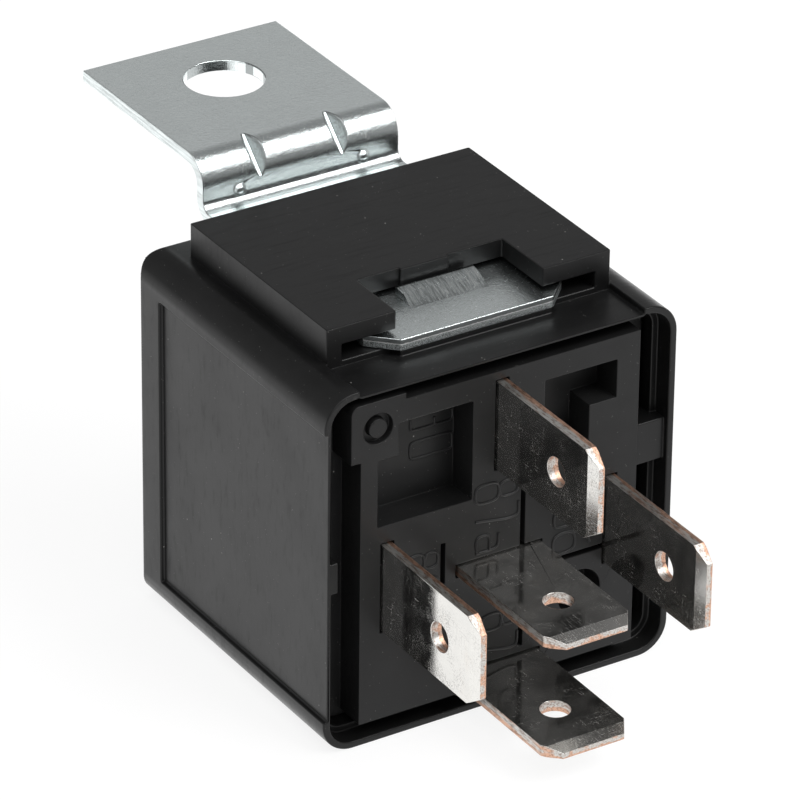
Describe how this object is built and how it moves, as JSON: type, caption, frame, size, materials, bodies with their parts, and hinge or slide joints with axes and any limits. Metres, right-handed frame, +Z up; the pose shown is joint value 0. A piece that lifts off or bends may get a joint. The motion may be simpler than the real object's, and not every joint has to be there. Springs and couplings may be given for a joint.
{
  "type": "automotive relay",
  "caption": "Plug-in changeover relay: boxy moulded cover, flat push-on blades in a recessed base, and a stepped sheet-steel bracket with a fixing hole snapped into a pad on top.",
  "frame": {"origin": "centre of the cover's flat resting face", "axes": "+Z up from the resting face, -Y the way the blades leave the mouth, +Y the way the bracket leaves, X across the width with blade 85 at -X and blade 86 at +X"},
  "size_m": [0.0262, 0.0514, 0.0301],
  "materials": {
    "cover": "black moulded plastic with a soft satin sheen",
    "base": "black moulded plastic, slightly duller than the cover",
    "bracket": "bright zinc plated sheet steel with fine streaks",
    "blades": "tin plated copper alloy with bare coppery sheared edges",
    "magnet_iron": "dull nickel plated soft iron",
    "bobbin": "natural cream plastic",
    "wire": "enamelled copper wire",
    "spring": "rolled bronze strip",
    "rivets": "plain rivets",
    "contacts": "silver alloy contact rivets"
  },
  "bodies": {
    "relay": {"cover": "cover", "base_plate": "base", "mounting_bracket": "bracket", "terminal_30": "blades", "terminal_85": "blades", "terminal_86": "blades", "terminal_87": "blades", "terminal_87a": "blades", "yoke": "magnet_iron", "core": "magnet_iron", "bobbin": "bobbin", "coil_winding": "wire", "coil_lead_85": "wire", "coil_lead_86": "wire", "spring_rivets": "rivets", "fixed_contact_no": "contacts", "fixed_contact_nc": "contacts"},
    "armature": {"armature": "magnet_iron", "contact_spring": "spring", "moving_contact": "contacts", "armature_rivets": "rivets"}
  },
  "joints": [
    {"name": "armature_hinge", "type": "hinge", "parent": "relay", "child": "armature", "pos_m": [0, 0.00565, 0.0233], "axis": [-1, 0, 0], "range_deg": [0, 2.8], "stiffness_Nm_per_rad": 0.05, "springref_deg": -1.15, "deforming": ["contact_spring"]}
  ]
}
